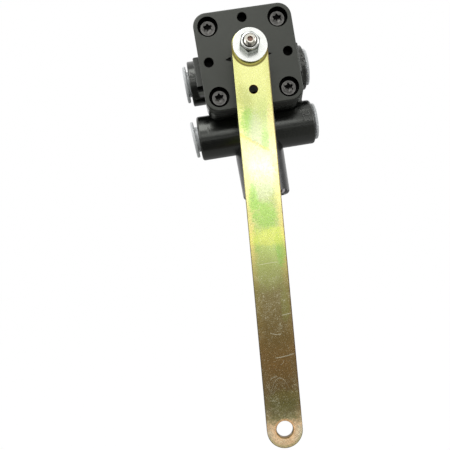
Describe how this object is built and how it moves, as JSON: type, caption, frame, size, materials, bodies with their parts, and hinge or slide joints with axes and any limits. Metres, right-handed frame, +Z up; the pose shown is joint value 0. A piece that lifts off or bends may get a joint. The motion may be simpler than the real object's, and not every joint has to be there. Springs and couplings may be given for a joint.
{
  "type": "leveling valve",
  "caption": "Height-control air valve: square-covered plastic housing with four plugged side ports, an exhaust leg below and a long flat steel lever on its front shaft.",
  "frame": {"origin": "on the flat back face, where the lever shaft's axis passes through it", "axes": "+Y out of the back face along the mounting studs (the cover looks to -Y), +Z up in the installed position with the exhaust leg and lever hanging to -Z, +X to the right seen from the cover"},
  "size_m": [0.1017, 0.1296, 0.3157],
  "materials": {
    "housing_nylon": "moulded glass-filled nylon, satin black",
    "cover_nylon": "satin dark grey",
    "rubber": "nitrile rubber",
    "screw_steel": "dark zinc",
    "shaft_steel": "ground steel",
    "spring_steel": "drawn steel wire and strip",
    "bearing_bronze": "sintered bronze",
    "yellow_zinc": "zinc plate with yellow chromate",
    "bright_zinc": "bright zinc plate",
    "ring_nylon": "nylon",
    "spool_aluminium": "turned and anodised",
    "sleeve_brass": "turned brass",
    "felt": "pressed felt",
    "flap_rubber": "silicone rubber",
    "stud_zinc": "zinc-plated steel thread",
    "plug_plastic": "natural low-density polyethylene, cloudy"
  },
  "bodies": {
    "valve_body": {"housing": "housing_nylon", "front_cover": "cover_nylon", "cover_seal": "rubber", "cover_screws": "screw_steel", "front_bush": "bearing_bronze", "rear_bush": "bearing_bronze", "shaft_seal": "rubber", "dust_wiper": "rubber", "spool_sleeve": "sleeve_brass", "spring_seat": "sleeve_brass", "spool_spring": "spring_steel", "exhaust_leg": "housing_nylon", "leg_seal": "rubber", "silencer_pad": "felt", "exhaust_flap": "flap_rubber", "supply_strainer": "spring_steel", "check_cage": "ring_nylon", "mounting_studs": "stud_zinc"},
    "lever": {"lever_shaft": "shaft_steel", "shaft_clip": "spring_steel", "lever_arm": "yellow_zinc", "lever_washer": "bright_zinc", "lock_nut": "bright_zinc", "nut_insert": "ring_nylon"},
    "spool": {"valve_spool": "spool_aluminium", "spool_rings": "rubber"},
    "check_valve": {"check_disc": "rubber"},
    "plug_upper_left": {"port_plug_upper_left": "plug_plastic"},
    "plug_upper_right": {"port_plug_upper_right": "plug_plastic"},
    "plug_lower_left": {"port_plug_lower_left": "plug_plastic"},
    "plug_lower_right": {"port_plug_lower_right": "plug_plastic"}
  },
  "joints": [
    {"name": "lever_turn", "type": "hinge", "parent": "valve_body", "child": "lever", "pos_m": [0, 0, 0], "axis": [0, 1, 0], "range_deg": [-49.3, 40.7]},
    {"name": "spool_slide", "type": "slide", "parent": "valve_body", "child": "spool", "axis": [0, 0, 1], "range_m": [-0.00195, 0.00235], "deforming": ["spool_spring"]},
    {"name": "check_disc_lift", "type": "slide", "parent": "valve_body", "child": "check_valve", "axis": [1, 0, 0], "range_m": [0, 0.0008], "stiffness_N_per_m": 60},
    {"name": "pull_upper_left", "type": "slide", "parent": "valve_body", "child": "plug_upper_left", "axis": [-1, 0, 0], "range_m": [0, 0.014]},
    {"name": "pull_upper_right", "type": "slide", "parent": "valve_body", "child": "plug_upper_right", "axis": [1, 0, 0], "range_m": [0, 0.014]},
    {"name": "pull_lower_left", "type": "slide", "parent": "valve_body", "child": "plug_lower_left", "axis": [-1, 0, 0], "range_m": [0, 0.014]},
    {"name": "pull_lower_right", "type": "slide", "parent": "valve_body", "child": "plug_lower_right", "axis": [1, 0, 0], "range_m": [0, 0.014]}
  ],
  "couplings": [
    {"joint": "spool_slide", "follows": "lever_turn", "m_per_rad": -0.0027}
  ]
}
